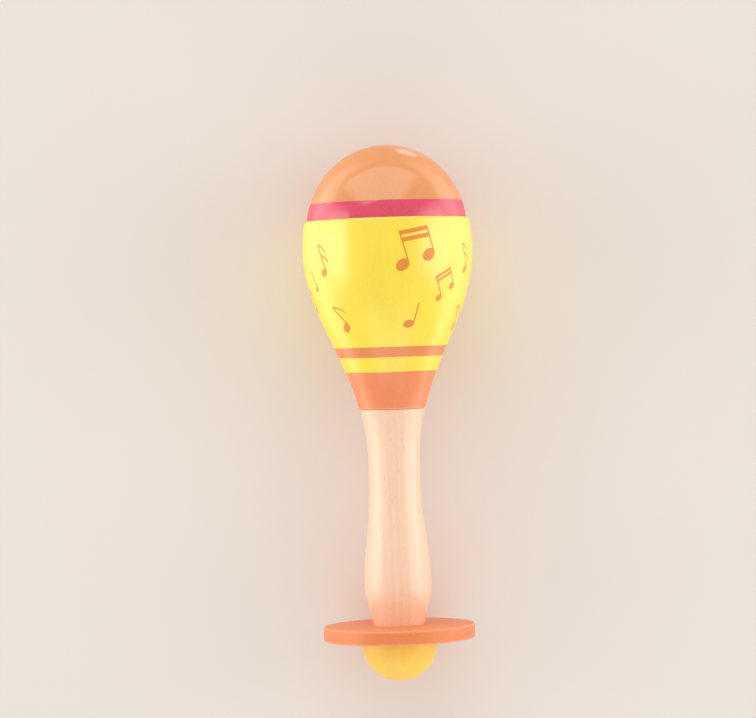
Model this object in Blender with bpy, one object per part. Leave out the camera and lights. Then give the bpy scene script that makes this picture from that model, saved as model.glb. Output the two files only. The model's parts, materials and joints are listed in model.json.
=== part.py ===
"""Wooden maraca: a hollow two-part head on a turned handle, with loose pellets inside.

Every wooden piece is turned about one lathe axis, local Z here, with the end ball's foot
at height 0 and the crown of the head at the top. The finished maraca lies on the floor
on its belly and on the rim of the disc, with its head towards +Y.
Metres, +Z up, origin on the floor under the middle of the maraca.
"""

import math

import bmesh
import bpy
from mathutils import Vector

# Lengths along the lathe axis, from the foot of the ball to the crown of the head
BALL_HEIGHT = 0.0145
DISC_THICKNESS = 0.00485
HANDLE_LENGTH = 0.0748
NECK_BAND = 0.0127
YELLOW_RING = 0.0045
ORANGE_STRIPE = 0.0037
PRINTED_BELLY = 0.04455
PINK_BAND = 0.0058
ORANGE_DOME = 0.0199

# Head, outside: an elliptical dome over a belly that falls to the neck in half a wave
DOME_RADIUS = 0.0278
DOME_RISE = 0.0294
BELLY_RADIUS = 0.0293
BELLY_BELOW_SEAM = 0.0106
BELLY_RISE = 0.0436
WAVE_FOOT_RADIUS = 0.0102
WAVE_LENGTH = 0.0658
RIM_ROUND = 0.0010

# Head, inside: an egg-shaped hollow, the cap's spigot and the bore of the neck
HOLLOW_RADIUS = 0.0240
HOLLOW_RISE = 0.0313
HOLLOW_FALL = 0.0400
SPIGOT_RADIUS = 0.0254
SPIGOT_DEPTH = 0.0035
BORE_RADIUS = 0.00615

# Handle: a flare under the neck, a slim waist, a swell for the palm and a rounded shoulder
HANDLE_TOP_RADIUS = 0.0112
FLARE_LENGTH = 0.0196
WAIST_RADIUS = 0.0089
WAIST_LENGTH = 0.0073
SWELL_RADIUS = 0.0116
SWELL_LENGTH = 0.0339
SHOULDER_RADIUS = 0.0087
SHOULDER_LENGTH = 0.0166
TENON_LENGTH = 0.0140

# Disc, ball and the dowel that joins them to the handle
DISC_RADIUS = 0.0262
DISC_EDGE_ROUND = 0.0005
SEAT_DEPTH = 0.0005
BALL_RADIUS = 0.0130
DOWEL_RADIUS = 0.0040
DOWEL_IN_HANDLE = 0.0180
DOWEL_IN_BALL = 0.0085
CHAMFER = 0.0005

# Loose pellets
PELLET_COUNT = 24
PELLET_RADIUS = 0.00225
PELLET_CLEARANCE = 0.0005

# Space left between pieces that touch, and the number of facets round a turned piece
GAP = 0.0003
FACETS = 48

# Heights of the joints and colour changes
DISC_FOOT = BALL_HEIGHT
DISC_TOP = DISC_FOOT + DISC_THICKNESS
NECK_FOOT = DISC_TOP + HANDLE_LENGTH
RING_FOOT = NECK_FOOT + NECK_BAND
STRIPE_FOOT = RING_FOOT + YELLOW_RING
PRINT_FOOT = STRIPE_FOOT + ORANGE_STRIPE
SEAM = PRINT_FOOT + PRINTED_BELLY
PINK_TOP = SEAM + PINK_BAND
CROWN = PINK_TOP + ORANGE_DOME
BELLY = SEAM - BELLY_BELOW_SEAM
HANDLE_FOOT = DISC_TOP - SEAT_DEPTH + GAP
BALL_FLAT = DISC_FOOT + SEAT_DEPTH - GAP

# Paint and wood colours, linear RGB
ORANGE = (0.86, 0.22, 0.06)
PINK = (0.80, 0.07, 0.13)
YELLOW = (0.95, 0.66, 0.07)
PALE_WOOD = (0.83, 0.56, 0.35)
BARE_WOOD = (0.62, 0.42, 0.25)
IVORY = (0.80, 0.76, 0.64)


def spread(start, end, steps):
    """Evenly spaced values from start to end, both included."""
    return [start + (end - start) * step / steps for step in range(steps + 1)]


def half_wave(share):
    """A smooth climb from 0 to 1, level at both ends."""
    return (1 - math.cos(math.pi * share)) / 2


def finish(name, colour, roughness):
    """A Principled material of one colour."""
    material = bpy.data.materials.new(name)
    material.use_nodes = True
    shader = material.node_tree.nodes["Principled BSDF"]
    shader.inputs["Base Color"].default_value = (*colour, 1)
    shader.inputs["Roughness"].default_value = roughness
    shader.inputs["Metallic"].default_value = 0
    return material


def turn(outline, closed):
    """A bmesh turned from (radius, height) points, with a facet square to local Y.

    A closed outline makes a ring. An open one starts and ends on the axis.
    """
    bm = bmesh.new()
    half_facet = math.pi / FACETS
    points = []
    for radius, height in outline:
        place = (radius * math.cos(half_facet), radius * math.sin(half_facet), height)
        points.append(bm.verts.new(place))
    edges = [bm.edges.new(pair) for pair in zip(points, points[1:])]
    if closed:
        edges.append(bm.edges.new((points[-1], points[0])))
    bmesh.ops.spin(
        bm,
        geom=points + edges,
        cent=(0, 0, 0),
        axis=(0, 0, 1),
        angle=2 * math.pi,
        steps=FACETS,
        use_merge=True,
    )
    bmesh.ops.remove_doubles(bm, verts=bm.verts, dist=1e-6)
    bmesh.ops.recalc_face_normals(bm, faces=bm.faces)
    return bm


def add_node(name, bm, materials, parent):
    """One named, smoothly shaded object of the maraca."""
    mesh = bpy.data.meshes.new(name)
    bm.to_mesh(mesh)
    bm.free()
    for material in materials:
        mesh.materials.append(material)
    mesh.shade_smooth()
    mesh.set_sharp_from_angle(angle=math.radians(35))
    node = bpy.data.objects.new(name, mesh)
    node.parent = parent
    bpy.context.scene.collection.objects.link(node)
    return node


def paint_bands(bm, feet):
    """Give each face outside the hollow its band's slot, and each face inside the last slot."""
    middle_of_head = Vector((0, 0, BELLY))
    for face in bm.faces:
        middle = face.calc_center_median()
        if face.normal.dot(middle - middle_of_head) > 0:
            face.material_index = next(slot for slot, foot in enumerate(feet) if middle.z > foot)
        else:
            face.material_index = len(feet)


def dome_angle(height):
    """Angle from the crown at which the dome reaches a height."""
    return math.acos((height - CROWN + DOME_RISE) / DOME_RISE)


def dome_point(angle):
    """A point on the dome's outline at an angle from the crown."""
    return DOME_RADIUS * math.sin(angle), CROWN - DOME_RISE + DOME_RISE * math.cos(angle)


def bowl_radius(height):
    """Outer radius of the bowl."""
    if height > BELLY:
        return BELLY_RADIUS * math.sqrt(1 - ((height - BELLY) / BELLY_RISE) ** 2)
    fall = half_wave((BELLY - height) / WAVE_LENGTH)
    return BELLY_RADIUS - (BELLY_RADIUS - WAVE_FOOT_RADIUS) * fall


def hollow_half_length(height):
    """The hollow is a half ellipse upwards from the belly and a longer one downwards."""
    return HOLLOW_RISE if height > BELLY else HOLLOW_FALL


def hollow_radius(height):
    """Radius of the egg-shaped hollow."""
    share = (height - BELLY) / hollow_half_length(height)
    return HOLLOW_RADIUS * math.sqrt(max(0.0, 1 - share**2))


def hollow_height(angle, half_length):
    """Height of the hollow's wall at an angle above or below the belly."""
    return BELLY + half_length * math.sin(angle)


def handle_radius(height):
    """Outer radius of the handle."""
    down = NECK_FOOT - height
    if down < FLARE_LENGTH:
        return WAIST_RADIUS + (HANDLE_TOP_RADIUS - WAIST_RADIUS) * (1 - down / FLARE_LENGTH) ** 2
    down -= FLARE_LENGTH + WAIST_LENGTH
    if down < 0:
        return WAIST_RADIUS
    if down < SWELL_LENGTH:
        return WAIST_RADIUS + (SWELL_RADIUS - WAIST_RADIUS) * half_wave(down / SWELL_LENGTH)
    down -= SWELL_LENGTH
    return SWELL_RADIUS - (SWELL_RADIUS - SHOULDER_RADIUS) * half_wave(down / SHOULDER_LENGTH)


def cap_outline():
    """Crown, dome, pink band, seam, spigot and the upper part of the hollow."""
    pink_angle = dome_angle(PINK_TOP)
    outline = [dome_point(angle) for angle in spread(0, pink_angle, 9)]
    outline += [dome_point(angle) for angle in spread(pink_angle, dome_angle(SEAM), 2)[1:]]
    spigot_foot = SEAM - SPIGOT_DEPTH
    outline += [(SPIGOT_RADIUS, SEAM), (SPIGOT_RADIUS, spigot_foot)]
    foot_angle = math.asin((spigot_foot - BELLY) / HOLLOW_RISE)
    for angle in spread(foot_angle, math.pi / 2, 7):
        outline.append((HOLLOW_RADIUS * math.cos(angle), hollow_height(angle, HOLLOW_RISE)))
    return outline


def bowl_outline():
    """Rounded rim, belly, stripes, neck, bore, the lower part of the hollow and its rebate."""
    rim_top = SEAM - GAP
    rim_foot = rim_top - RIM_ROUND
    rebate_radius = SPIGOT_RADIUS + GAP
    rebate_foot = SEAM - SPIGOT_DEPTH - GAP
    outline = [(rebate_radius, rim_top)]
    for angle in spread(0, math.pi / 2, 3):
        radius = bowl_radius(rim_foot) - RIM_ROUND * (1 - math.sin(angle))
        outline.append((radius, rim_foot + RIM_ROUND * math.cos(angle)))
    heights = spread(rim_foot, BELLY, 3)[1:]
    heights += spread(BELLY, PRINT_FOOT, 9)[1:]
    heights += [STRIPE_FOOT, RING_FOOT]
    heights += spread(RING_FOOT, NECK_FOOT, 4)[1:]
    outline += [(bowl_radius(height), height) for height in heights]
    bore_angle = math.acos(BORE_RADIUS / HOLLOW_RADIUS)
    outline += [(BORE_RADIUS, NECK_FOOT)]
    for angle in spread(bore_angle, 0, 8):
        outline.append((HOLLOW_RADIUS * math.cos(angle), hollow_height(-angle, HOLLOW_FALL)))
    outline += [(hollow_radius(rebate_foot), rebate_foot), (rebate_radius, rebate_foot)]
    return outline


def handle_outline():
    """Tenon, flare, waist, swell, shoulder and the blind hole for the dowel."""
    tenon_top = NECK_FOOT + TENON_LENGTH
    tenon_radius = BORE_RADIUS - GAP
    hole_radius = DOWEL_RADIUS + GAP
    hole_top = HANDLE_FOOT + DOWEL_IN_HANDLE + GAP
    outline = [(0, tenon_top), (tenon_radius - CHAMFER, tenon_top)]
    outline += [(tenon_radius, tenon_top - CHAMFER), (tenon_radius, NECK_FOOT - GAP)]
    waist_top = NECK_FOOT - FLARE_LENGTH
    waist_foot = waist_top - WAIST_LENGTH
    swell = waist_foot - SWELL_LENGTH
    heights = spread(NECK_FOOT - GAP, waist_top, 5)
    heights += spread(waist_foot, swell, 8)
    heights += spread(swell, DISC_TOP, 5)[1:] + [HANDLE_FOOT]
    outline += [(handle_radius(height), height) for height in heights]
    outline += [(hole_radius, HANDLE_FOOT), (hole_radius, hole_top), (0, hole_top)]
    return outline


def disc_outline():
    """A flat disc with rounded edges, a dowel hole and a shallow seat on each face."""
    hole_radius = DOWEL_RADIUS + GAP
    handle_seat = handle_radius(DISC_TOP) + GAP
    ball_seat = ball_flat_radius() + GAP
    seat_top = DISC_TOP - SEAT_DEPTH
    seat_foot = DISC_FOOT + SEAT_DEPTH
    edge_centre = DISC_RADIUS - DISC_EDGE_ROUND
    outline = [(hole_radius, seat_top), (handle_seat, seat_top), (handle_seat, DISC_TOP)]
    for angle in spread(math.pi / 2, 0, 2):
        height = DISC_TOP - DISC_EDGE_ROUND * (1 - math.sin(angle))
        outline.append((edge_centre + DISC_EDGE_ROUND * math.cos(angle), height))
    for angle in spread(0, math.pi / 2, 2):
        height = DISC_FOOT + DISC_EDGE_ROUND * (1 - math.sin(angle))
        outline.append((edge_centre + DISC_EDGE_ROUND * math.cos(angle), height))
    outline += [(ball_seat, DISC_FOOT), (ball_seat, seat_foot), (hole_radius, seat_foot)]
    return outline


def ball_flat_radius():
    """Radius of the flat where the ball meets its seat in the disc."""
    return math.sqrt(BALL_RADIUS**2 - (BALL_FLAT - BALL_RADIUS) ** 2)


def ball_outline():
    """Blind dowel hole, flat, and the sphere down to its foot."""
    hole_radius = DOWEL_RADIUS + GAP
    hole_foot = BALL_FLAT - DOWEL_IN_BALL - GAP
    outline = [(0, hole_foot), (hole_radius, hole_foot), (hole_radius, BALL_FLAT)]
    flat_angle = math.acos((BALL_FLAT - BALL_RADIUS) / BALL_RADIUS)
    for angle in spread(flat_angle, math.pi, 9):
        outline.append((BALL_RADIUS * math.sin(angle), BALL_RADIUS * (1 + math.cos(angle))))
    return outline


def dowel_outline():
    """A plain dowel with chamfered ends."""
    top = HANDLE_FOOT + DOWEL_IN_HANDLE
    foot = BALL_FLAT - DOWEL_IN_BALL
    outline = [(0, top), (DOWEL_RADIUS - CHAMFER, top), (DOWEL_RADIUS, top - CHAMFER)]
    outline += [(DOWEL_RADIUS, foot + CHAMFER), (DOWEL_RADIUS - CHAMFER, foot), (0, foot)]
    return outline


def lying_pose():
    """Tilt, lift and shift that lay the belly and the disc's rim on the floor."""
    to_facet = math.cos(math.pi / FACETS)
    tilt = 0.0

    def depth(point):
        return point[0] * to_facet * math.cos(tilt) - point[1] * math.sin(tilt)

    for _ in range(10):
        belly = max(bowl_outline(), key=depth)
        rim = max(disc_outline(), key=depth)
        tilt = math.atan2((belly[0] - rim[0]) * to_facet, belly[1] - rim[1])
    reach = []
    for radius, height in cap_outline() + ball_outline():
        for side in (-1, 1):
            reach.append(height * math.cos(tilt) + side * radius * to_facet * math.sin(tilt))
    return tilt, depth(belly), -(max(reach) + min(reach)) / 2


def pellet_depth(x, height):
    """How far below the axis a pellet lies on the wall of the hollow."""
    keep_off = PELLET_RADIUS + PELLET_CLEARANCE
    across = x / (HOLLOW_RADIUS - keep_off)
    along = (height - BELLY) / (hollow_half_length(height) - keep_off)
    return (HOLLOW_RADIUS - keep_off) * math.sqrt(1 - across**2 - along**2)


def pellet_spots(tilt):
    """Close-packed spots, (x, height), round the lowest point of the lying hollow."""
    pitch = 2 * PELLET_RADIUS + GAP
    lowest = BELLY - math.tan(tilt) * HOLLOW_FALL**2 / HOLLOW_RADIUS
    row_step = pitch * math.sqrt(3) / 2
    reach = math.ceil(math.sqrt(PELLET_COUNT))
    spots = []
    for row in range(-reach, reach + 1):
        for column in range(-reach, reach + 1):
            x = (column + (row % 2) / 2) * pitch
            spots.append((round(math.hypot(x, row * row_step), 6), x, lowest + row * row_step))
    return [(x, height) for _, x, height in sorted(spots)[:PELLET_COUNT]]


def build():
    """Lay out the maraca under one empty that carries its lying pose."""
    for old in list(bpy.data.objects):
        bpy.data.objects.remove(old, do_unlink=True)
    tilt, lift, shift = lying_pose()
    lying = bpy.data.objects.new("lying_maraca", None)
    lying.location = (0, shift, lift)
    lying.rotation_euler = (tilt - math.pi / 2, 0, 0)
    bpy.context.scene.collection.objects.link(lying)

    bare_wood = finish("bare_wood", BARE_WOOD, 0.6)
    orange = finish("head_orange_lacquer", ORANGE, 0.25)
    pink = finish("pink_lacquer", PINK, 0.25)
    yellow = finish("head_yellow_lacquer", YELLOW, 0.25)

    cap = turn(cap_outline(), closed=False)
    paint_bands(cap, [PINK_TOP, 0])
    add_node("head_cap", cap, [orange, pink, bare_wood], lying)

    bowl = turn(bowl_outline(), closed=True)
    paint_bands(bowl, [PRINT_FOOT, STRIPE_FOOT, RING_FOOT, 0])
    add_node("head_bowl", bowl, [yellow, orange, yellow, orange, bare_wood], lying)

    handle = turn(handle_outline(), closed=False)
    add_node("handle", handle, [finish("clear_lacquered_wood", PALE_WOOD, 0.3)], lying)

    disc = turn(disc_outline(), closed=True)
    add_node("guard_disc", disc, [finish("disc_orange_lacquer", ORANGE, 0.25)], lying)

    ball = turn(ball_outline(), closed=False)
    add_node("end_ball", ball, [finish("ball_yellow_lacquer", YELLOW, 0.25)], lying)

    dowel = turn(dowel_outline(), closed=False)
    add_node("base_dowel", dowel, [finish("dowel_wood", BARE_WOOD, 0.6)], lying)

    pellet_finish = finish("ivory_pellet", IVORY, 0.4)
    for number, (x, height) in enumerate(pellet_spots(tilt), start=1):
        bead = bmesh.new()
        bmesh.ops.create_icosphere(bead, subdivisions=2, radius=PELLET_RADIUS)
        pellet = add_node(f"rattle_pellet_{number:02d}", bead, [pellet_finish], lying)
        pellet.location = (x, pellet_depth(x, height), height)


build()
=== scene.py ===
import json
import math

import bmesh
import bpy
from mathutils import Euler, Matrix, Vector


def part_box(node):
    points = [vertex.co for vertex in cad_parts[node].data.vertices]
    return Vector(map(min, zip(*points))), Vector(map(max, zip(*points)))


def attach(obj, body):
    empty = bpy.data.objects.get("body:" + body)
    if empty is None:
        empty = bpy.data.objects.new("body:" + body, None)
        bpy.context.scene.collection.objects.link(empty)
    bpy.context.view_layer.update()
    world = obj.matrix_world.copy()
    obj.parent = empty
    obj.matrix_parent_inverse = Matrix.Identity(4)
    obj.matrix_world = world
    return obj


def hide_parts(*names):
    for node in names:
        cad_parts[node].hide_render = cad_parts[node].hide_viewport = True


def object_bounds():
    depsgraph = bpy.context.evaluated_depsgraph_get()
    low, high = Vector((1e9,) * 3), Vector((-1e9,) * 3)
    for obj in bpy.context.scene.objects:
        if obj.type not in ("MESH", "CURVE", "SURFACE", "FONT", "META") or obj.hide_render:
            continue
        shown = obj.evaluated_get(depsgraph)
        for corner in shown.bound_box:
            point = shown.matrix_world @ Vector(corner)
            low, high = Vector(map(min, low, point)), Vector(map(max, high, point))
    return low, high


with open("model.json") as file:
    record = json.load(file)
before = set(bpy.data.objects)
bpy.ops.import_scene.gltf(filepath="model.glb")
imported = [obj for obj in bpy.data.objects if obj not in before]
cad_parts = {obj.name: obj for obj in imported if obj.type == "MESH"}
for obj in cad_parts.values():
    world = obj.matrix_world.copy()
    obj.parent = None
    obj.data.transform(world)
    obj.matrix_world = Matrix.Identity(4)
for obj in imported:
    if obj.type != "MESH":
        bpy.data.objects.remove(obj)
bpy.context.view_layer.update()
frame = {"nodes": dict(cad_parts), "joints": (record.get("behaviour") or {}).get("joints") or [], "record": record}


# Handle. One length of pale, close-grained wood turned between centres: it flares under the head,
# thins to a waist and swells into the palm. A tenon on its top is glued into the head, a blind hole
# in its foot takes the dowel, and it is dipped in clear lacquer.

# All pieces are turned round one axis, which lies along +Y and tips up a little, because the maraca
# rests on its belly and on the disc's rim. Heights on the axis start at the foot of the end ball.
DOWEL_MIDDLE = 0.021675
axis = -Vector(frame["record"]["mounts"][0]["axis"]).normalized()
sideways = Vector((1, 0, 0))
dowel_low, dowel_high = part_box("base_dowel")
lathe = Matrix((sideways, axis.cross(sideways), axis)).transposed().to_4x4()
lathe.translation = (dowel_low + dowel_high) / 2 - DOWEL_MIDDLE * axis

SPIN_STEPS = 160
ROUND_STEPS = 5
SAME_PLACE = 1e-6
SHARP_ANGLE = math.radians(35)

DISC_TOP = 0.01935
NECK_FOOT = 0.09415
SEAT_DEPTH = 0.0005
GLUE_LINE = 0.00005
HANDLE_TOP_RADIUS = 0.0112
HANDLE_TOP_ROUND = 0.0003
FLARE_LENGTH = 0.0196
WAIST_RADIUS = 0.0089
WAIST_LENGTH = 0.0073
SWELL_RADIUS = 0.0116
SWELL_LENGTH = 0.0339
SHOULDER_RADIUS = 0.0087
SHOULDER_LENGTH = 0.0166
BORE_RADIUS = 0.00615
TENON_LENGTH = 0.0140
DOWEL_RADIUS = 0.0040
DOWEL_IN_HANDLE = 0.0180
CHAMFER = 0.0005
HANDLE_STEPS = 72

# Patterns have a size across the axis and along it. A span is the part of a pattern's values that
# counts, and a share, value or roughness is what the two ends of that span become.
MOST_NOISE = (0.3, 0.7)
HANDLE_WOOD = (0.97, 0.645, 0.435, 1)
HANDLE_STREAK = (0.87, 0.53, 0.33, 1)
HANDLE_ROUGH = (0.30, 0.44)
HANDLE_COAT = {"Coat Weight": 0.8, "Coat Roughness": 0.09}
HANDLE_FIBRE_DEPTH = 0.000004
SANDING_SIZE = (0.004, 0.004, 0.0004)
SANDING_DEPTH = 0.000002
LACQUER_FLOW_SIZE = (0.0025, 0.0025, 0.006)
LACQUER_FLOW_DEPTH = 0.000012
PITH_PLACE = (0.021, 0.013, 0)
PITH_LEAN = (math.radians(2.5), math.radians(-1.8), 0)
LOG_STRETCH = (1, 1, 0.06)
RING_WIDTH = 0.0026
RING_REPEAT = math.pi / 10
RING_WAVER = {"Distortion": 2.5, "Detail": 2.0, "Detail Scale": 0.6}
RING_SPAN = (0.2, 1.0)
RING_SHARE = (0.0, 0.24)
FIBRE_SIZE = (0.0005, 0.0005, 0.024)
FIBRE_SPAN = (0.38, 0.68)
FIBRE_SHARE = (0.0, 0.32)
PORE_SIZE = (0.0011, 0.0011, 0.0075)
PORE_SPAN = (0.08, 0.2)
PORE_SHARE = (0.22, 0.0)
PORE_SHADE = (0.42, 0.22, 0.11, 1)


def spread(start, end, steps):
    """Evenly spaced values from start to end, both included."""
    return [start + (end - start) * step / steps for step in range(steps + 1)]


def half_wave(share):
    """A smooth climb from 0 to 1, level at both ends."""
    return (1 - math.cos(math.pi * share)) / 2


def turn(outline, closed=False, steps=SPIN_STEPS):
    """A bmesh turned from (radius, height) points. A closed outline makes a ring."""
    turned = bmesh.new()
    points = [turned.verts.new((radius, 0, height)) for radius, height in outline]
    edges = [turned.edges.new(pair) for pair in zip(points, points[1:])]
    if closed:
        edges.append(turned.edges.new((points[-1], points[0])))
    bmesh.ops.spin(
        turned,
        geom=points + edges,
        cent=(0, 0, 0),
        axis=(0, 0, 1),
        angle=2 * math.pi,
        steps=steps,
        use_merge=True,
    )
    bmesh.ops.remove_doubles(turned, verts=turned.verts, dist=SAME_PLACE)
    bmesh.ops.recalc_face_normals(turned, faces=turned.faces)
    return turned


def round_edge(turned, radius, height, width):
    """Sand round the sharp edge that a turned piece has at one radius and height."""
    ring = []
    for edge in turned.edges:
        away = [math.hypot(v.co.xy.length - radius, v.co.z - height) for v in edge.verts]
        if max(away) < SAME_PLACE:
            ring.append(edge)
    bmesh.ops.bevel(
        turned,
        geom=ring,
        offset=width,
        offset_type="OFFSET",
        affect="EDGES",
        segments=ROUND_STEPS,
        profile=0.5,
        material=-1,
    )


def add_piece(name, made, place, materials):
    """A smoothly shaded object, with its place in its mesh."""
    bmesh.ops.transform(made, matrix=place, verts=made.verts)
    mesh = bpy.data.meshes.new(name)
    made.to_mesh(mesh)
    made.free()
    for material in materials:
        mesh.materials.append(material)
    mesh.shade_smooth()
    mesh.set_sharp_from_angle(angle=SHARP_ANGLE)
    piece = bpy.data.objects.new(name, mesh)
    bpy.context.scene.collection.objects.link(piece)
    return piece


def feed(tree, node, feeds):
    """Fill a shader node's inputs, each with a plain value or from another node's output."""
    for name, value in feeds.items():
        if isinstance(value, bpy.types.NodeSocket):
            tree.links.new(value, node.inputs[name])
        else:
            node.inputs[name].default_value = value


def add_node(tree, kind, feeds, **settings):
    """A new shader node with its inputs filled."""
    node = tree.nodes.new(kind)
    for name, value in settings.items():
        setattr(node, name, value)
    feed(tree, node, feeds)
    return node


def start_finish(name):
    """A material and where its patterns lie: X and Y across the axis, Z the height, in metres."""
    material = bpy.data.materials.new(name)
    material.use_nodes = True
    tree = material.node_tree
    to_lathe = lathe.inverted()
    feeds = {
        "Vector": add_node(tree, "ShaderNodeTexCoord", {}).outputs["Object"],
        "Location": to_lathe.to_translation(),
        "Rotation": to_lathe.to_euler(),
    }
    place = add_node(tree, "ShaderNodeMapping", feeds).outputs["Vector"]
    return material, tree, tree.nodes["Principled BSDF"], place


def stretch(tree, place, size):
    """Pattern coordinates in which one unit is the given size, in metres, each way."""
    scale = [1 / side for side in size]
    return add_node(tree, "ShaderNodeMapping", {"Vector": place, "Scale": scale}).outputs["Vector"]


def blotches(tree, place, size, detail=3.0):
    """Soft random values with blotches of the given size."""
    feeds = {"Vector": stretch(tree, place, size), "Scale": 1.0, "Detail": detail}
    return add_node(tree, "ShaderNodeTexNoise", feeds).outputs["Fac"]


def remap(tree, value, span, target):
    """A value taken from one span to another, and held there."""
    feeds = {
        "Value": value,
        "From Min": span[0],
        "From Max": span[1],
        "To Min": target[0],
        "To Max": target[1],
    }
    return add_node(tree, "ShaderNodeMapRange", feeds).outputs["Result"]


def calculate(tree, operation, first, second=0.0):
    """One sum with one or two values."""
    return add_node(tree, "ShaderNodeMath", {0: first, 1: second}, operation=operation).outputs[0]


def mix_colours(tree, share, first, second):
    """The first colour, going over to the second by share."""
    # This node's inputs 6 and 7 and its output 2 are the ones for colours
    feeds = {0: share, 6: first, 7: second}
    return add_node(tree, "ShaderNodeMix", feeds, data_type="RGBA").outputs[2]


def relief(tree, height, depth, under=None):
    """A surface normal with relief of the given depth in metres, over another relief."""
    feeds = {"Height": height, "Distance": depth}
    if under:
        feeds["Normal"] = under
    return add_node(tree, "ShaderNodeBump", feeds).outputs["Normal"]


def wood_grain(tree, place, wood, streak):
    """Colour and fibres of pale wood: growth rings round a pith, fine fibres and short pores."""
    log = {"Vector": place, "Location": PITH_PLACE, "Rotation": PITH_LEAN, "Scale": LOG_STRETCH}
    growth = {
        "Vector": add_node(tree, "ShaderNodeMapping", log).outputs["Vector"],
        "Scale": RING_REPEAT / RING_WIDTH,
        **RING_WAVER,
    }
    rings = add_node(tree, "ShaderNodeTexWave", growth, wave_type="RINGS", rings_direction="Z")
    fibres = blotches(tree, place, FIBRE_SIZE, detail=4.0)
    ring_share = remap(tree, rings.outputs["Fac"], RING_SPAN, RING_SHARE)
    fibre_share = remap(tree, fibres, FIBRE_SPAN, FIBRE_SHARE)
    colour = mix_colours(tree, calculate(tree, "ADD", ring_share, fibre_share), wood, streak)
    cells = {"Vector": stretch(tree, place, PORE_SIZE), "Scale": 1.0}
    pores = add_node(tree, "ShaderNodeTexVoronoi", cells).outputs["Distance"]
    pore_share = remap(tree, pores, PORE_SPAN, PORE_SHARE)
    return mix_colours(tree, pore_share, colour, PORE_SHADE), fibres


def handle_radius(height):
    """Outer radius of the handle."""
    down = NECK_FOOT - height
    if down < FLARE_LENGTH:
        return WAIST_RADIUS + (HANDLE_TOP_RADIUS - WAIST_RADIUS) * (1 - down / FLARE_LENGTH) ** 2
    down -= FLARE_LENGTH + WAIST_LENGTH
    if down < 0:
        return WAIST_RADIUS
    if down < SWELL_LENGTH:
        return WAIST_RADIUS + (SWELL_RADIUS - WAIST_RADIUS) * half_wave(down / SWELL_LENGTH)
    down -= SWELL_LENGTH
    return SWELL_RADIUS - (SWELL_RADIUS - SHOULDER_RADIUS) * half_wave(down / SHOULDER_LENGTH)


tenon_top = NECK_FOOT + TENON_LENGTH
tenon_radius = BORE_RADIUS - GLUE_LINE
handle_top = NECK_FOOT - GLUE_LINE
handle_foot = DISC_TOP - SEAT_DEPTH + GLUE_LINE
dowel_hole = DOWEL_RADIUS + GLUE_LINE
dowel_hole_top = handle_foot + DOWEL_IN_HANDLE + CHAMFER
handle_outline = [(0, tenon_top), (tenon_radius - CHAMFER, tenon_top)]
handle_outline += [(tenon_radius, tenon_top - CHAMFER), (tenon_radius, handle_top)]
for height in spread(handle_top, DISC_TOP, HANDLE_STEPS):
    handle_outline.append((handle_radius(height), height))
handle_outline += [(SHOULDER_RADIUS, handle_foot), (dowel_hole, handle_foot)]
handle_outline += [(dowel_hole, dowel_hole_top), (0, dowel_hole_top)]
handle = turn(handle_outline)
round_edge(handle, handle_radius(handle_top), handle_top, HANDLE_TOP_ROUND)

clear_wood, tree, shader, place = start_finish("clear_lacquered_wood")
colour, fibres = wood_grain(tree, place, HANDLE_WOOD, HANDLE_STREAK)
roughness = remap(tree, fibres, MOST_NOISE, HANDLE_ROUGH)
sanding = blotches(tree, place, SANDING_SIZE)
lacquer_flow = blotches(tree, place, LACQUER_FLOW_SIZE)
surface = relief(tree, fibres, HANDLE_FIBRE_DEPTH)
surface = relief(tree, sanding, SANDING_DEPTH, surface)
surface = relief(tree, lacquer_flow, LACQUER_FLOW_DEPTH, surface)
feed(tree, shader, {"Base Color": colour, "Roughness": roughness, "Normal": surface})
feed(tree, shader, HANDLE_COAT)

turned_handle = add_piece("turned_handle", handle, lathe, [clear_wood])
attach(turned_handle, "maraca")
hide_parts("handle")


# Base dowel. A plain birch dowel that runs from the handle through the disc into the ball, and pins
# and glues the three together. It is bare wood, hidden once the ball is on, so the CAD piece stays.

BARE_WOOD = (0.66, 0.45, 0.27, 1)
BARE_STREAK = (0.50, 0.31, 0.17, 1)
BARE_ROUGH = (0.55, 0.72)
BARE_FIBRE_DEPTH = 0.00003
TOOL_MARK_SIZE = (0.006, 0.006, 0.0005)
TOOL_MARK_DEPTH = 0.00002

bare_wood, tree, shader, place = start_finish("bare_wood")
colour, fibres = wood_grain(tree, place, BARE_WOOD, BARE_STREAK)
roughness = remap(tree, fibres, MOST_NOISE, BARE_ROUGH)
tool_marks = blotches(tree, place, TOOL_MARK_SIZE)
surface = relief(tree, fibres, BARE_FIBRE_DEPTH)
surface = relief(tree, tool_marks, TOOL_MARK_DEPTH, surface)
feed(tree, shader, {"Base Color": colour, "Roughness": roughness, "Normal": surface})

frame["nodes"]["base_dowel"].data.materials.clear()
frame["nodes"]["base_dowel"].data.materials.append(bare_wood)


# Guard disc. A flat wooden disc with slightly rounded edges, drilled for the dowel and recessed a
# little on both faces so that the handle and the ball sit down in it. It is sprayed with satin
# orange lacquer, which lies a touch thinner on its edges.

DISC_FOOT = 0.0145
DISC_RADIUS = 0.0262
DISC_EDGE_ROUND = 0.0005
BALL_RADIUS = 0.0130

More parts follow.
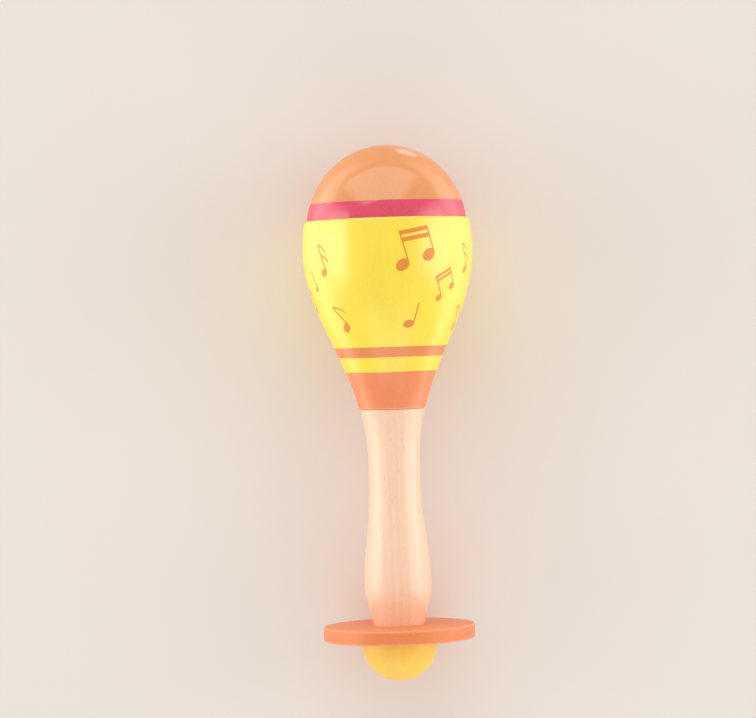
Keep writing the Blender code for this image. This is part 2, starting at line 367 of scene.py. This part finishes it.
DISC_ORANGE = (0.83, 0.222, 0.060, 1)
SATIN_ROUGH = 0.52
SATIN_COAT = {"Coat Weight": 0.2, "Coat Roughness": 0.14, "Coat IOR": 1.6}
BAND_EDGE = 0.00006
BAND_WANDER = 0.00009
WANDER_SIZE = (0.007,) * 3
WANDER_SPAN = (0.2, 0.8)
UNDERCOAT = (0.93, 0.62, 0.40, 1)
THIN_PAINT_WIDTH = 0.0005
THIN_PAINT_SHARE = 0.30
SPRAY_SIZE = (0.012, 0.012, 0.02)
SPRAY_SPAN = (0.25, 0.75)
SPRAY_VALUE = (0.96, 1.04)
PAINTED_FIBRE_SIZE = (0.0006, 0.0006, 0.018)
PAINTED_FIBRE_VALUE = (-0.02, 0.02)
PAINTED_FIBRE_DEPTH = 0.000002
SPECKLE_SIZE = (0.0007,) * 3
SPECKLE_SATURATION = (0.985, 1.015)
SPECKLE_ROUGH = 0.05
ORANGE_PEEL_SIZE = (0.0019,) * 3
ORANGE_PEEL_DEPTH = 0.000004


def band_colour(tree, place, bands):
    """Colour of paint in bands of (foot height, colour), from the foot up, with masked edges."""
    height = add_node(tree, "ShaderNodeSeparateXYZ", {"Vector": place}).outputs["Z"]
    drift = blotches(tree, place, WANDER_SIZE)
    wander = remap(tree, drift, WANDER_SPAN, (-BAND_WANDER, BAND_WANDER))
    masked_height = calculate(tree, "ADD", height, wander)
    colour = bands[0][1]
    for foot, paint in bands[1:]:
        share = remap(tree, masked_height, (foot - BAND_EDGE, foot + BAND_EDGE), (0.0, 1.0))
        colour = mix_colours(tree, share, colour, paint)
    return colour


def measure(tree, operation, first, second=(0, 0, 0)):
    """A node that makes one sum with one or two vectors."""
    return add_node(tree, "ShaderNodeVectorMath", {0: first, 1: second}, operation=operation)


def thin_on_edge(tree, place, colour, fibres, edge):
    """Let the undercoat show through along an edge of the given radius and height."""
    across = measure(tree, "MULTIPLY", place, (1, 1, 0)).outputs["Vector"]
    radius = measure(tree, "LENGTH", across).outputs["Value"]
    height = add_node(tree, "ShaderNodeSeparateXYZ", {"Vector": place}).outputs["Z"]
    section = add_node(tree, "ShaderNodeCombineXYZ", {"X": radius, "Y": height}).outputs["Vector"]
    away = measure(tree, "DISTANCE", section, (*edge, 0)).outputs["Value"]
    ragged = calculate(tree, "MULTIPLY", fibres, THIN_PAINT_WIDTH)
    ragged_away = calculate(tree, "SUBTRACT", away, ragged)
    share = remap(tree, ragged_away, (0.0, THIN_PAINT_WIDTH), (THIN_PAINT_SHARE, 0.0))
    return mix_colours(tree, share, colour, UNDERCOAT)


def lacquer(name, bands, thin_edges, rough, coat):
    """Sprayed paint in bands of (foot height, colour), from the foot up, under a clear coat.

    thin_edges holds the radius and height of each edge that the paint is thin on, rough is the
    paint's roughness, and coat holds the shader's settings for the clear coat.
    """
    material, tree, shader, place = start_finish(name)
    fibres = blotches(tree, place, PAINTED_FIBRE_SIZE, detail=4.0)
    colour = band_colour(tree, place, bands)
    for edge in thin_edges:
        colour = thin_on_edge(tree, place, colour, fibres, edge)
    spray = remap(tree, blotches(tree, place, SPRAY_SIZE, detail=4.0), SPRAY_SPAN, SPRAY_VALUE)
    grain = remap(tree, fibres, MOST_NOISE, PAINTED_FIBRE_VALUE)
    speckle = blotches(tree, place, SPECKLE_SIZE)
    tone = {
        "Saturation": remap(tree, speckle, MOST_NOISE, SPECKLE_SATURATION),
        "Value": calculate(tree, "ADD", spray, grain),
        "Color": colour,
    }
    colour = add_node(tree, "ShaderNodeHueSaturation", tone).outputs["Color"]
    speckled = (rough - SPECKLE_ROUGH, rough + SPECKLE_ROUGH)
    roughness = remap(tree, speckle, MOST_NOISE, speckled)
    orange_peel = blotches(tree, place, ORANGE_PEEL_SIZE, detail=1.0)
    surface = relief(tree, fibres, PAINTED_FIBRE_DEPTH)
    surface = relief(tree, orange_peel, ORANGE_PEEL_DEPTH, surface)
    feed(tree, shader, {"Base Color": colour, "Roughness": roughness, "Normal": surface})
    feed(tree, shader, coat)
    return material


ball_flat = DISC_FOOT + SEAT_DEPTH - GLUE_LINE
ball_flat_radius = math.sqrt(BALL_RADIUS**2 - (ball_flat - BALL_RADIUS) ** 2)
handle_seat = SHOULDER_RADIUS + GLUE_LINE
ball_seat = ball_flat_radius + GLUE_LINE
seat_top = DISC_TOP - SEAT_DEPTH
seat_foot = DISC_FOOT + SEAT_DEPTH
disc = turn(
    [
        (dowel_hole, seat_top),
        (handle_seat, seat_top),
        (handle_seat, DISC_TOP),
        (DISC_RADIUS, DISC_TOP),
        (DISC_RADIUS, DISC_FOOT),
        (ball_seat, DISC_FOOT),
        (ball_seat, seat_foot),
        (dowel_hole, seat_foot),
    ],
    closed=True,
)
disc_edges = [(DISC_RADIUS, DISC_TOP), (DISC_RADIUS, DISC_FOOT)]
for edge_radius, edge_height in disc_edges:
    round_edge(disc, edge_radius, edge_height, DISC_EDGE_ROUND)

disc_lacquer = lacquer("disc_lacquer", [(0, DISC_ORANGE)], disc_edges, SATIN_ROUGH, SATIN_COAT)
lacquered_disc = add_piece("lacquered_disc", disc, lathe, [disc_lacquer])
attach(lacquered_disc, "maraca")
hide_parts("guard_disc")


# End ball. A wooden ball with a flat turned on one side and a blind hole drilled in the flat for the
# dowel. It sits in the disc's recess and is sprayed with satin yellow lacquer. Its colour is set a
# little more orange than the bowl's yellow, as painted reflection of the orange disc beside it.

DOWEL_IN_BALL = 0.0085
BALL_STEPS = 40
# Deeper and more orange than the bowl's yellow: part of this colour is painted reflection of the orange disc.
BALL_YELLOW_WITH_DISC_REFLECTION = (0.97, 0.605, 0.080, 1)

ball_hole_foot = ball_flat - DOWEL_IN_BALL - CHAMFER
ball_outline = [(0, ball_hole_foot), (dowel_hole, ball_hole_foot), (dowel_hole, ball_flat)]
flat_angle = math.acos((ball_flat - BALL_RADIUS) / BALL_RADIUS)
for angle in spread(flat_angle, math.pi, BALL_STEPS):
    ball_outline.append((BALL_RADIUS * math.sin(angle), BALL_RADIUS * (1 + math.cos(angle))))

ball_lacquer = lacquer("ball_lacquer", [(0, BALL_YELLOW_WITH_DISC_REFLECTION)], [], SATIN_ROUGH, SATIN_COAT)
lacquered_ball = add_piece("lacquered_ball", turn(ball_outline), lathe, [ball_lacquer])
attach(lacquered_ball, "maraca")
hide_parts("end_ball")


# Head bowl. The lower part of the head, turned from one block and hollowed out: a belly that falls
# away to a slim neck, bored for the handle's tenon, with a rebate at its rounded rim for the cap.
# It is sprayed yellow, with an orange stripe and neck masked off on the lathe. Inside it is bare.

RING_FOOT = 0.10705
STRIPE_FOOT = 0.11210
PRINT_FOOT = 0.11560
SEAM = 0.1596
BELLY = 0.1490
BELLY_RADIUS = 0.0293
BELLY_RISE = 0.0436
WAVE_FOOT_RADIUS = 0.0102
WAVE_LENGTH = 0.0658
RIM_ROUND = 0.0010
NECK_ROUND = 0.0004
HOLLOW_RADIUS = 0.0240
HOLLOW_RISE = 0.0313
HOLLOW_FALL = 0.0400
SPIGOT_RADIUS = 0.0254
SPIGOT_DEPTH = 0.0035
RIM_STEPS = 8
BOWL_STEPS = 64
HOLLOW_STEPS = 24
HOLLOW_LIP_STEPS = 4

BOWL_YELLOW = (0.985, 0.735, 0.015, 1)
STRIPE_ORANGE = (0.82, 0.215, 0.034, 1)
NECK_ORANGE = (0.88, 0.228, 0.054, 1)
HEAD_ROUGH = 0.41
BOWL_COAT = {
    "Coat Weight": 0.6,
    "Coat Roughness": 0.22,
    "Coat IOR": 2.35,
    "Specular IOR Level": 0.1,
}
PAINTED_SLOT = 0
BARE_SLOT = 1


def bowl_radius(height):
    """Outer radius of the bowl."""
    if height > BELLY:
        return BELLY_RADIUS * math.sqrt(1 - ((height - BELLY) / BELLY_RISE) ** 2)
    fall = half_wave((BELLY - height) / WAVE_LENGTH)
    return BELLY_RADIUS - (BELLY_RADIUS - WAVE_FOOT_RADIUS) * fall


def hollow_point(angle, half_length):
    """A point on the egg-shaped hollow, at an angle up or down from the belly."""
    return HOLLOW_RADIUS * math.cos(angle), BELLY + half_length * math.sin(angle)


def bare_inside(turned):
    """Leave the faces that look into the head unpainted."""
    middle_of_head = Vector((0, 0, BELLY))
    for face in turned.faces:
        outwards = face.calc_center_median() - middle_of_head
        face.material_index = PAINTED_SLOT if face.normal.dot(outwards) > 0 else BARE_SLOT


rim_top = SEAM - GLUE_LINE
rim_foot = rim_top - RIM_ROUND
rebate_radius = SPIGOT_RADIUS + GLUE_LINE
rebate_foot = SEAM - SPIGOT_DEPTH - GLUE_LINE
bowl_outline = [(rebate_radius, rim_top)]
for angle in spread(0, math.pi / 2, RIM_STEPS):
    rim_radius = bowl_radius(rim_foot) - RIM_ROUND * (1 - math.sin(angle))
    bowl_outline.append((rim_radius, rim_foot + RIM_ROUND * math.cos(angle)))
for height in spread(rim_foot, NECK_FOOT, BOWL_STEPS)[1:]:
    bowl_outline.append((bowl_radius(height), height))
bowl_outline.append((BORE_RADIUS, NECK_FOOT))
bore_angle = math.acos(BORE_RADIUS / HOLLOW_RADIUS)
for angle in spread(-bore_angle, 0, HOLLOW_STEPS):
    bowl_outline.append(hollow_point(angle, HOLLOW_FALL))
rebate_angle = math.asin((rebate_foot - BELLY) / HOLLOW_RISE)
for angle in spread(0, rebate_angle, HOLLOW_LIP_STEPS)[1:]:
    bowl_outline.append(hollow_point(angle, HOLLOW_RISE))
bowl_outline.append((rebate_radius, rebate_foot))
bowl = turn(bowl_outline, closed=True)
round_edge(bowl, bowl_radius(NECK_FOOT), NECK_FOOT, NECK_ROUND)
bare_inside(bowl)

bowl_bands = [
    (NECK_FOOT, NECK_ORANGE),
    (RING_FOOT, BOWL_YELLOW),
    (STRIPE_FOOT, STRIPE_ORANGE),
    (PRINT_FOOT, BOWL_YELLOW),
]
bowl_edges = [(bowl_radius(rim_foot), rim_top), (bowl_radius(NECK_FOOT), NECK_FOOT)]
bowl_lacquer = lacquer("bowl_lacquer", bowl_bands, bowl_edges, HEAD_ROUGH, BOWL_COAT)
painted_bowl = add_piece("painted_bowl", bowl, lathe, [bowl_lacquer, bare_wood])
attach(painted_bowl, "maraca")
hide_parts("head_bowl")


# Printed notes. A scatter of music notes round the belly, printed in orange ink by a soft pad. The
# ink is a thin film that stands a little proud of the paint, with pinholes and a soft gloss.

MM = 0.001
UNIT_HALF = 0.5
INK_DEPTH = 0.00009
INK_CUT = 0.0008
HEAD_INK = 0.000040
STEM_INK = 0.000046
FLAG_INK = 0.000049
BEAM_INK = 0.000052
HEAD_SHAPE = 0.76
HEAD_TILT = math.radians(24)
HEAD_CORNERS = 36
STEM_WIDTH = 0.00044
FLAG_FALL = math.radians(58)
FLAG_BEND = math.radians(24)
FLAG_ROOT = 0.0007
FLAG_TIP = 0.0003
FLAG_PITCH = 0.0038
FLAG_STEPS = 10
SLOPE_STEP = 0.0001

NOTE_ORANGE = (0.79, 0.25, 0.018, 1)
SMEAR_SIZE = (0.0016,) * 3
SMEAR_SPAN = (0.25, 0.75)
SMEAR_VALUE = (0.93, 1.07)
SMEAR_DEPTH = 0.000006
PINHOLE_SIZE = (0.0003,) * 3
PINHOLE_SPAN = (0.66, 0.74)
PINHOLE_SHARE = (0.0, 0.6)
INK_ROUGH = (0.42, 0.55)
INK_COAT = {"Coat Weight": 0.4, "Coat Roughness": 0.12}

# Beamed pairs, in millimetres and degrees: angle round the bowl from its top and height of the first
# head, lean, head length, first stem's top, the second head's place, second stem's top, thickness
# of the beams and how far apart they are
BEAMED_PAIRS = [
    (9.7, 143.25, 15.6, 5.0, 11.3, (10.0, 0.6), 10.3, 1.45, 2.45),
    (39.7, 131.8, 25.0, 2.7, 8.0, (6.7, 1.5), 8.3, 0.8, 1.5),
    (150.0, 143.0, 12.0, 4.7, 11.0, (9.8, 0.4), 10.6, 1.4, 2.4),
    (206.0, 130.5, 21.0, 2.8, 8.2, (6.6, 1.0), 8.2, 0.8, 1.5),
]

# Single notes: angle and height of the head, lean, head length, stem top, length of the flags and
# their number
SINGLE_NOTES = [
    (16.0, 123.3, -11.3, 3.8, 8.1, 0, 0),
    (-49.4, 141.5, 21.3, 3.1, 9.8, 4.5, 2),
    (-40.5, 122.5, 37.9, 3.6, 8.4, 5.6, 1),
    (-62.6, 136.0, 22.0, 2.2, 6.6, 0, 0),
    (-79.0, 129.0, 24.0, 2.8, 7.6, 3.8, 1),
    (65.5, 141.4, 23.0, 3.1, 9.2, 4.4, 2),
    (76.0, 122.0, 35.0, 3.2, 8.2, 4.6, 1),
    (113.0, 138.5, -9.0, 3.4, 8.8, 4.3, 1),
    (131.0, 125.0, 14.0, 3.6, 8.0, 0, 0),
    (178.0, 122.5, -14.0, 3.5, 8.2, 4.2, 1),
    (189.0, 145.0, 19.0, 3.2, 9.6, 4.5, 2),
    (231.0, 144.0, -12.0, 3.5, 8.4, 0, 0),
    (240.0, 126.0, 28.0, 3.4, 8.2, 4.1, 1),
    (263.0, 139.0, 17.0, 3.1, 9.4, 4.4, 2),
]


def print_head(flat, centre, length):
    """An oval note head, tipped up to the right."""
    place = Matrix.Translation((*centre, HEAD_INK))
    tilt = Matrix.Rotation(HEAD_TILT, 4, "Z")
    shape = Matrix.Diagonal((length, length * HEAD_SHAPE, 1, 1))
    bmesh.ops.create_circle(
        flat,
        cap_ends=True,
        segments=HEAD_CORNERS,
        radius=UNIT_HALF,
        matrix=place @ tilt @ shape,
    )


def print_bar(flat, start, end, across, ink):
    """A straight bar of ink from start to end, as wide as the vector across."""
    along = Vector(end) - Vector(start)
    middle = (Vector(start) + Vector(end)) / 2
    columns = ((*along, 0, 0), (*across, 0, 0), (0, 0, 1, 0), (*middle, ink, 1))
    bmesh.ops.create_grid(
        flat,
        x_segments=1,
        y_segments=1,
        size=UNIT_HALF,
        matrix=Matrix(columns).transposed(),
    )


def stem_side(length):
    """How far a head's right side is from its centre, where the stem stands."""
    return length / 2 * math.hypot(math.cos(HEAD_TILT), HEAD_SHAPE * math.sin(HEAD_TILT))


def print_stem(flat, centre, length, top):
    """A head's stem, up its right side. Returns where the stem's middle is."""
    x = centre[0] + stem_side(length) - STEM_WIDTH / 2
    print_bar(flat, (x, centre[1]), (x, top), (STEM_WIDTH, 0), STEM_INK)
    return x


def print_flag(flat, x, top, length):
    """A flag that swings out from a stem, curls down and tapers off."""
    bend_radius = length / (2 * math.sin(FLAG_BEND))
    leaving = FLAG_FALL - FLAG_BEND
    strip = bmesh.ops.create_grid(flat, x_segments=FLAG_STEPS, y_segments=1, size=UNIT_HALF)
    for vert in strip["verts"]:
        share = vert.co.x + UNIT_HALF
        heading = FLAG_FALL + FLAG_BEND * (2 * share - 1)
        width = FLAG_ROOT + (FLAG_TIP - FLAG_ROOT) * share
        radius = bend_radius + vert.co.y * width
        vert.co = (
            x + radius * math.sin(heading) - bend_radius * math.sin(leaving),
            top + radius * math.cos(heading) - bend_radius * math.cos(leaving),
            FLAG_INK,
        )


def bowl_slope(height):
    """How fast the bowl widens with its height."""
    widening = bowl_radius(height + SLOPE_STEP) - bowl_radius(height - SLOPE_STEP)
    return widening / (2 * SLOPE_STEP)


def wrap_on_bowl(flat, angle, height, lean):
    """Lay a flat note on the bowl, with its first head at an angle from the top and a height."""
    leaning = Matrix.Rotation(math.radians(lean), 3, "Z")
    bmesh.ops.rotate(flat, verts=flat.verts, cent=(0, 0, 0), matrix=leaning)
    for direction in (Vector((1, 0, 0)), Vector((0, 1, 0))):
        reach = [vert.co.dot(direction) for vert in flat.verts]
        first = math.floor(min(reach) / INK_CUT)
        last = math.floor(max(reach) / INK_CUT)
        for cut in range(first + 1, last + 1):
            bmesh.ops.bisect_plane(
                flat,
                geom=flat.verts[:] + flat.edges[:] + flat.faces[:],
                dist=SAME_PLACE,
                plane_co=direction * cut * INK_CUT,
                plane_no=direction,
            )
    rise = 1 / math.hypot(1, bowl_slope(height))
    for vert in flat.verts:
        across, up, ink = vert.co
        z = height + up * rise
        slope = bowl_slope(z)
        steepness = math.hypot(1, slope)
        radius = bowl_radius(z) + ink / steepness
        around = math.radians(angle) + across / bowl_radius(z)
        vert.co = (
            radius * math.sin(around),
            -radius * math.cos(around),
            z - ink * slope / steepness,
        )


def thicken_ink(flat):
    """Give the laid-out ink its thickness, down into the paint."""
    bmesh.ops.remove_doubles(flat, verts=flat.verts, dist=SAME_PLACE)
    inwards = [face for face in flat.faces if face.normal.xy.dot(face.calc_center_median().xy) < 0]
    bmesh.ops.reverse_faces(flat, faces=inwards)
    bmesh.ops.solidify(flat, geom=flat.faces[:], thickness=INK_DEPTH)
    bmesh.ops.recalc_face_normals(flat, faces=flat.faces)


def lay_note(notes, flat, angle, height, lean):
    """Print a flat note on the bowl, next to the other notes."""
    wrap_on_bowl(flat, angle, height, lean)
    thicken_ink(flat)
    one_note = bpy.data.meshes.new("one_note")
    flat.to_mesh(one_note)
    flat.free()
    notes.from_mesh(one_note)
    bpy.data.meshes.remove(one_note)


notes = bmesh.new()
for angle, height, lean, length, top, second, second_top, beam, pitch in BEAMED_PAIRS:
    flat = bmesh.new()
    length *= MM
    second = (second[0] * MM, second[1] * MM)
    print_head(flat, (0, 0), length)
    print_head(flat, second, length)
    left = print_stem(flat, (0, 0), length, top * MM) - STEM_WIDTH / 2
    right = print_stem(flat, second, length, second_top * MM) + STEM_WIDTH / 2
    for drop in (0, pitch):
        start = (left, (top - drop - beam / 2) * MM)
        end = (right, (second_top - drop - beam / 2) * MM)
        print_bar(flat, start, end, (0, beam * MM), BEAM_INK)
    lay_note(notes, flat, angle, height * MM, lean)
for angle, height, lean, length, top, flag_length, flags in SINGLE_NOTES:
    flat = bmesh.new()
    length *= MM
    print_head(flat, (0, 0), length)
    stem = print_stem(flat, (0, 0), length, top * MM)
    for flag in range(flags):
        print_flag(flat, stem, top * MM - FLAG_PITCH * flag, flag_length * MM)
    lay_note(notes, flat, angle, height * MM, lean)

note_ink, tree, shader, place = start_finish("note_ink")
smear = blotches(tree, place, SMEAR_SIZE)
pinholes = blotches(tree, place, PINHOLE_SIZE, detail=1.0)
pinhole_share = remap(tree, pinholes, PINHOLE_SPAN, PINHOLE_SHARE)
tone = {
    "Value": remap(tree, smear, SMEAR_SPAN, SMEAR_VALUE),
    "Color": mix_colours(tree, pinhole_share, NOTE_ORANGE, BOWL_YELLOW),
}
colour = add_node(tree, "ShaderNodeHueSaturation", tone).outputs["Color"]
roughness = remap(tree, smear, MOST_NOISE, INK_ROUGH)
surface = relief(tree, smear, SMEAR_DEPTH)
feed(tree, shader, {"Base Color": colour, "Roughness": roughness, "Normal": surface})
feed(tree, shader, INK_COAT)

printed_notes = add_piece("printed_notes", notes, lathe, [note_ink])
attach(printed_notes, "maraca")


# Rattle pellets. Small moulded plastic beads, poured loose into the bowl before the cap goes on. Each
# has a fine ridge where the halves of its mould met and a dimple where the plastic ran in.

PELLET_RADIUS = 0.00225
MOULD_RIDGE = 0.00005
RIDGE_ANGLE = math.radians(2.5)
DIMPLE_RADIUS = 0.00045
DIMPLE_DEPTH = 0.00012
PELLET_TUMBLE = math.radians(137.5)
DIMPLED_STEPS = 6
PLAIN_STEPS = 7
PELLET_SPIN_STEPS = 24

PELLET_IVORY = (0.80, 0.76, 0.64, 1)
PELLET_SHADE = (0.70, 0.63, 0.48, 1)
CLOUD_SIZE = (0.0018,) * 3
CLOUD_SPAN = (0.35, 0.7)
CLOUD_SHARE = (0.0, 0.6)
SPECK_SIZE = (0.0004,) * 3
SPECK_DEPTH = 0.00001
PELLET_ROUGH = (0.32, 0.5)

pellet_plastic, tree, shader, place = start_finish("pellet_plastic")
cloud_share = remap(tree, blotches(tree, place, CLOUD_SIZE), CLOUD_SPAN, CLOUD_SHARE)
colour = mix_colours(tree, cloud_share, PELLET_IVORY, PELLET_SHADE)
specks = blotches(tree, place, SPECK_SIZE)
roughness = remap(tree, specks, MOST_NOISE, PELLET_ROUGH)
surface = relief(tree, specks, SPECK_DEPTH)
feed(tree, shader, {"Base Color": colour, "Roughness": roughness, "Normal": surface})

dimple_angle = math.asin(DIMPLE_RADIUS / PELLET_RADIUS)
pellet_outline = [(0, PELLET_RADIUS - DIMPLE_DEPTH)]
for angle in spread(dimple_angle, math.pi / 2 - RIDGE_ANGLE, DIMPLED_STEPS):
    pellet_outline.append((PELLET_RADIUS * math.sin(angle), PELLET_RADIUS * math.cos(angle)))
pellet_outline.append((PELLET_RADIUS + MOULD_RIDGE, 0))
for angle in spread(math.pi / 2 + RIDGE_ANGLE, math.pi, PLAIN_STEPS):
    pellet_outline.append((PELLET_RADIUS * math.sin(angle), PELLET_RADIUS * math.cos(angle)))

for joint in frame["joints"]:
    body = joint["child"]
    node = f"rattle_{body}"
    number = body[-2:]
    low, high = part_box(node)
    tumble = int(number) * PELLET_TUMBLE
    turned_over = Euler((tumble, tumble / 2, 0)).to_matrix().to_4x4()
    lying = Matrix.Translation((low + high) / 2) @ turned_over
    pellet = turn(pellet_outline, steps=PELLET_SPIN_STEPS)
    bead = add_piece(f"bead_{number}", pellet, lying, [pellet_plastic])
    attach(bead, body)
    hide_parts(node)


# Head cap. The upper part of the head, a turned dome hollowed out below, with a spigot that is glued
# into the bowl's rebate. It is sprayed orange, with a pink band at its foot, and bare inside.

PINK_TOP = 0.1654
CROWN = 0.1853
DOME_RADIUS = 0.0278
DOME_RISE = 0.0294
DOME_STEPS = 48
CAP_PINK = (0.735, 0.019, 0.084, 1)
CAP_ORANGE = (0.775, 0.274, 0.063, 1)
CAP_COAT = {
    "Coat Weight": 0.45,
    "Coat Roughness": 0.09,
    "Coat IOR": 2.8,
    "Specular IOR Level": 0.1,
}

seam_angle = math.acos((SEAM - CROWN + DOME_RISE) / DOME_RISE)
cap_outline = []
for angle in spread(0, seam_angle, DOME_STEPS):
    dome_height = CROWN - DOME_RISE * (1 - math.cos(angle))
    cap_outline.append((DOME_RADIUS * math.sin(angle), dome_height))
spigot_foot = SEAM - SPIGOT_DEPTH
cap_outline += [(SPIGOT_RADIUS, SEAM), (SPIGOT_RADIUS, spigot_foot)]
spigot_angle = math.asin((spigot_foot - BELLY) / HOLLOW_RISE)
for angle in spread(spigot_angle, math.pi / 2, HOLLOW_STEPS):
    cap_outline.append(hollow_point(angle, HOLLOW_RISE))
cap = turn(cap_outline)
bare_inside(cap)

cap_bands = [(SEAM, CAP_PINK), (PINK_TOP, CAP_ORANGE)]
cap_lacquer = lacquer("cap_lacquer", cap_bands, [], HEAD_ROUGH, CAP_COAT)
painted_cap = add_piece("painted_cap", cap, lathe, [cap_lacquer, bare_wood])
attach(painted_cap, "maraca")
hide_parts("head_cap")


# Studio. A wide, pale and slightly warm floor under the lying maraca. Four soft boxes stand round it
# like walls, and three strips lie on the floor by the head, where the lacquer mirrors them. The
# camera looks straight down from about a metre.

FLOOR_SIZE = 16.0
FLOOR_PALE = (0.84, 0.77, 0.70, 1)
FLOOR_SHADE = (0.81, 0.74, 0.67, 1)
FLOOR_CLOUD_SIZE = (0.3,) * 3
FLOOR_ROUGH = 0.8
SURROUND = (0.69, 0.69, 0.69, 1)
HEAD_PLACE = Vector((0, 0.06, 0))
CAMERA_PLACE = (-0.00495, 0.003032, 1.130955)
CAMERA_TURN = (math.radians(0.82), 0, math.radians(-1.81))
CAMERA_LENS = 151.8

# Soft boxes, in metres from the head: middle of the edge where a box starts and of the edge where it
# ends, width, brightness, share of the half width that fades out on both sides, and share of the
# length that fades out at its end
SOFT_BOXES = [
    ("left_wall", (-6, 0, 0), (-6, 0, 4.4), 6.5, 2.0, 0.7, 0.15),
    ("right_wall", (6, 0, 0), (6, 0, 8.25), 7, 1.8, 0.7, 0.65),
    ("far_wall", (-0.7, 6, 0), (-0.7, 6, 8.4), 12.2, 0.85, 0.35, 0.08),
    ("near_wall", (0, -6, 0), (0, -6, 6.8), 10, 0.85, 0.4, 0.5),
    ("crown_strip", (0.0232, 0.080, 0.001), (0.01595, 0.055, 0), 0.019, 1.5, 0.4, 0.1),
    ("left_strip", (-0.9, 0.06, 0.06), (-0.045, 0.003, 0), 0.5, 1.4, 1.0, 0.05),
    ("right_strip", (0.9, 0.06, 0.06), (0.045, 0.003, 0), 0.5, 1.2, 1.0, 0.05),
]
FADE_OUT = (1.0, 0.0)


def add_softbox(name, start, end, width, brightness, side_fade, end_fade):
    """A soft box that faces the head and is as bright as a white sheet in plain light, or more."""
    start = Vector(start)
    end = Vector(end)
    middle = (start + end) / 2
    along = (end - start).normalized()
    across = along.cross(middle).normalized()
    lamp = bpy.data.lights.new(name, "AREA")
    lamp.shape = "RECTANGLE"
    lamp.size = width
    lamp.size_y = (end - start).length
    lamp.energy = brightness * math.pi * lamp.size * lamp.size_y
    lamp.use_nodes = True
    tree = lamp.node_tree
    on_box = add_node(tree, "ShaderNodeNewGeometry", {}).outputs["Parametric"]
    on_box = add_node(tree, "ShaderNodeSeparateXYZ", {"Vector": on_box})
    aside = calculate(tree, "SUBTRACT", on_box.outputs["X"], UNIT_HALF)
    aside = calculate(tree, "ABSOLUTE", aside)
    sides = remap(tree, aside, (UNIT_HALF * (1 - side_fade), UNIT_HALF), FADE_OUT)
    lengthways = remap(tree, on_box.outputs["Y"], (1 - end_fade, 1.0), FADE_OUT)
    strength = calculate(tree, "MULTIPLY", sides, lengthways)
    feed(tree, tree.nodes["Emission"], {"Strength": strength})
    box = bpy.data.objects.new(name, lamp)
    box.location = HEAD_PLACE + middle
    box.rotation_euler = Matrix((across, along, across.cross(along))).transposed().to_euler()
    box.visible_camera = False
    bpy.context.scene.collection.objects.link(box)


for soft_box in SOFT_BOXES:
    add_softbox(*soft_box)

floor_paint, tree, shader, place = start_finish("pale_floor")
clouds = blotches(tree, place, FLOOR_CLOUD_SIZE)
cloud_share = remap(tree, clouds, MOST_NOISE, (0.0, 1.0))
colour = mix_colours(tree, cloud_share, FLOOR_PALE, FLOOR_SHADE)
feed(tree, shader, {"Base Color": colour, "Roughness": FLOOR_ROUGH})

floor_sheet = bmesh.new()
bmesh.ops.create_grid(floor_sheet, x_segments=1, y_segments=1, size=FLOOR_SIZE / 2)
floor_height = Matrix.Translation((0, 0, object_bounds()[0].z))
add_piece("floor", floor_sheet, floor_height, [floor_paint])

surround = bpy.data.worlds.new("pale_surround")
surround.use_nodes = True
surround.node_tree.nodes["Background"].inputs["Color"].default_value = SURROUND
bpy.context.scene.world = surround

camera = bpy.data.objects.new("camera", bpy.data.cameras.new("camera"))
camera.data.sensor_fit = "HORIZONTAL"
camera.data.lens = CAMERA_LENS
camera.location = CAMERA_PLACE
camera.rotation_euler = CAMERA_TURN
bpy.context.scene.collection.objects.link(camera)
bpy.context.scene.camera = camera
bpy.context.scene.view_settings.view_transform = "Standard"
